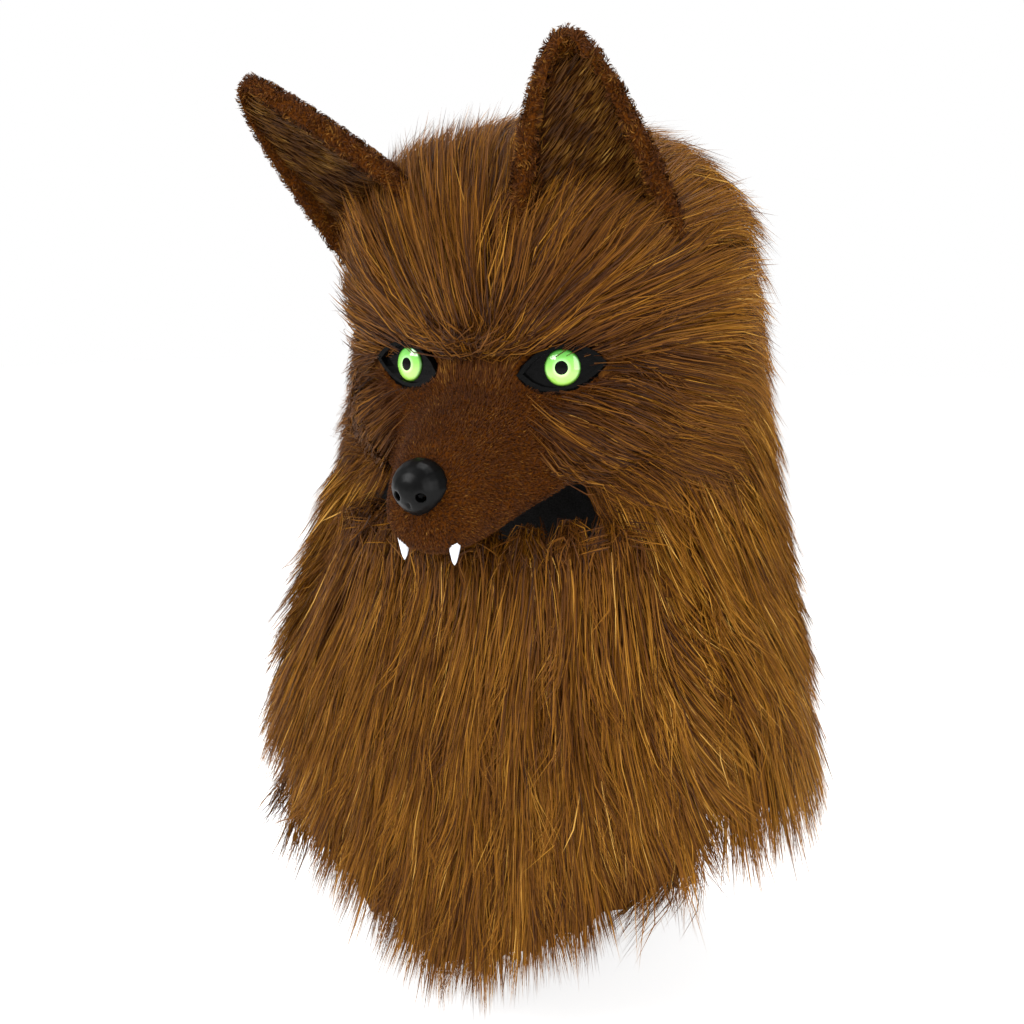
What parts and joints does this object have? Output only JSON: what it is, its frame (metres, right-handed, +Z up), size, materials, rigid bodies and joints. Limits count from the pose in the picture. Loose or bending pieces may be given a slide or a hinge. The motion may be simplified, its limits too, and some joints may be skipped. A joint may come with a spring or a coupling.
{
  "type": "wolf half mask",
  "caption": "Brown fur wolf half mask with hood and mane, plush snout with black nose, green eyes, standing ears, fangs and a long fur bib below the open mouth.",
  "frame": {"origin": "where the crown of the wearer's head bears on the inside of the hood", "axes": "+Z up, -Y the way the wolf looks, +X to the wolf's left"},
  "size_m": [0.408, 0.3339, 0.5498],
  "materials": {
    "long_fur": "long brown faux fur with golden and dark strands",
    "short_plush": "short brown plush",
    "ear_fur": "short swept brown fur",
    "lining_cloth": "matt black knitted cloth",
    "eye_black": "glossy black",
    "iris_green": "clear gloss over printed green",
    "nose_black": "satin black",
    "fang_white": "glossy white"
  },
  "bodies": {
    "root": {"hood_backing": "lining_cloth", "hood_fur": "long_fur", "face_shell": "short_plush", "cheek_fur_left": "long_fur", "cheek_fur_right": "long_fur", "bib_backing": "lining_cloth", "bib_fur": "long_fur", "ear_left": "short_plush", "ear_right": "short_plush", "ear_lining_left": "ear_fur", "ear_lining_right": "ear_fur", "eye_socket_left": "eye_black", "eye_socket_right": "eye_black", "iris_left": "iris_green", "iris_right": "iris_green", "pupil_left": "eye_black", "pupil_right": "eye_black", "nose": "nose_black", "fang_left": "fang_white", "fang_right": "fang_white"}
  },
  "joints": []
}
